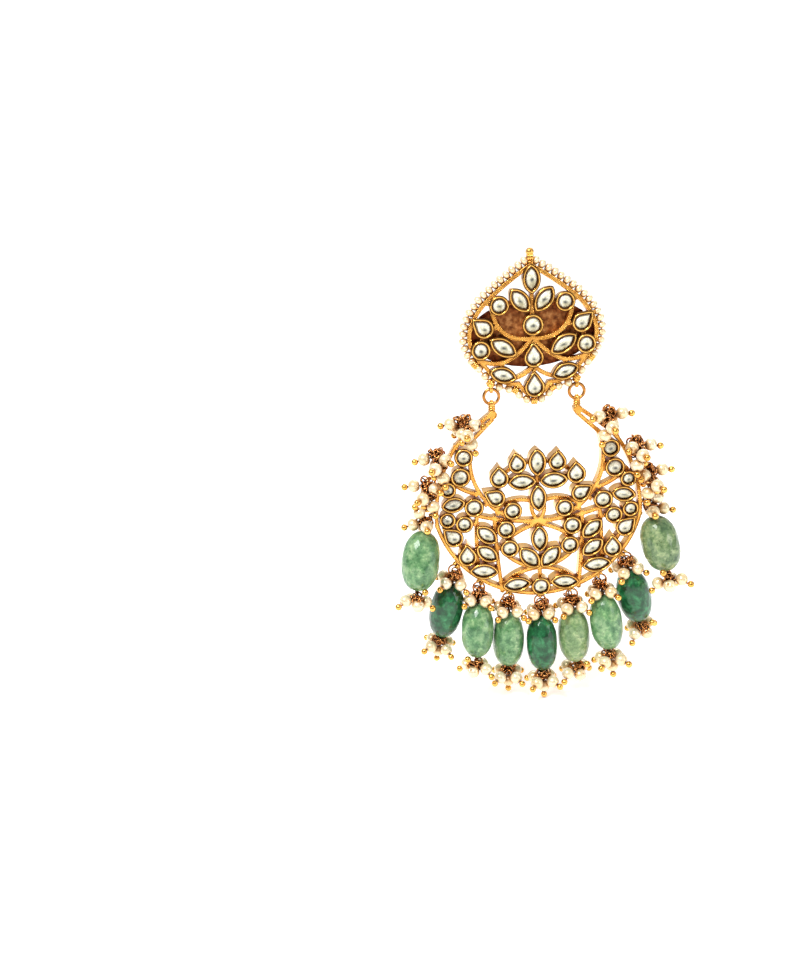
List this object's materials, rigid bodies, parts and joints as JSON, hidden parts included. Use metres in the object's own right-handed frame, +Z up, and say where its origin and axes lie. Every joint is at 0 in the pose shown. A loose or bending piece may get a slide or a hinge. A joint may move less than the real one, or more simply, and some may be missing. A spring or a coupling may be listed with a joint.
{
  "type": "chandbali earring",
  "caption": "Post earring with a pointed stone-set stud and a hinged openwork crescent that carries pearl clusters and oval green bead drops round its rim.",
  "frame": {"origin": "centre of the ear post's foot on the back plate's ear-side face, where the earring pins on", "axes": "+X to the right of the earring seen from the front, -Y forward away from the ear, +Y along the ear post, +Z up"},
  "size_m": [0.0626, 0.0215, 0.0973],
  "materials": {
    "gold": "polished warm yellow gold plating with darker worn recesses",
    "wire_gold": "dark antique gold plating",
    "copper_plate": "mottled copper-brown plate",
    "stone": "clear cut glass over pale foil",
    "pearl": "cream pearl lustre",
    "green_mid": "mottled mid green stone, polished facets",
    "green_dark": "dark emerald green stone, polished facets",
    "green_pale": "pale yellowish green stone, polished facets"
  },
  "bodies": {
    "stud": {"stud_frame": "gold", "stud_stones": "stone", "back_plate": "copper_plate", "ear_post": "gold", "border_pearls": "pearl", "border_wire": "gold"},
    "chand": {"jump_ring_left": "gold", "jump_ring_right": "gold", "chand_frame": "gold", "chand_stones": "stone", "bead_1": "green_mid", "bead_2": "green_dark", "bead_3": "green_mid", "bead_4": "green_mid", "bead_5": "green_dark", "bead_6": "green_pale", "bead_7": "green_mid", "bead_8": "green_dark", "bead_9": "green_pale", "drop_1_wire": "wire_gold", "drop_2_wire": "wire_gold", "drop_3_wire": "wire_gold", "drop_4_wire": "wire_gold", "drop_5_wire": "wire_gold", "drop_6_wire": "wire_gold", "drop_7_wire": "wire_gold", "drop_8_wire": "wire_gold", "drop_9_wire": "wire_gold", "drop_1_pearls": "pearl", "drop_2_pearls": "pearl", "drop_3_pearls": "pearl", "drop_4_pearls": "pearl", "drop_5_pearls": "pearl", "drop_6_pearls": "pearl", "drop_7_pearls": "pearl", "drop_8_pearls": "pearl", "drop_9_pearls": "pearl", "cluster_1_wire": "wire_gold", "cluster_2_wire": "wire_gold", "cluster_3_wire": "wire_gold", "cluster_4_wire": "wire_gold", "cluster_5_wire": "wire_gold", "cluster_6_wire": "wire_gold", "cluster_1_pearls": "pearl", "cluster_2_pearls": "pearl", "cluster_3_pearls": "pearl", "cluster_4_pearls": "pearl", "cluster_5_pearls": "pearl", "cluster_6_pearls": "pearl"}
  },
  "joints": [
    {"name": "chand_swing", "type": "hinge", "parent": "stud", "child": "chand", "pos_m": [0, -0.0018, -0.01076], "axis": [1, 0, 0], "range_deg": [-60, 60]}
  ]
}
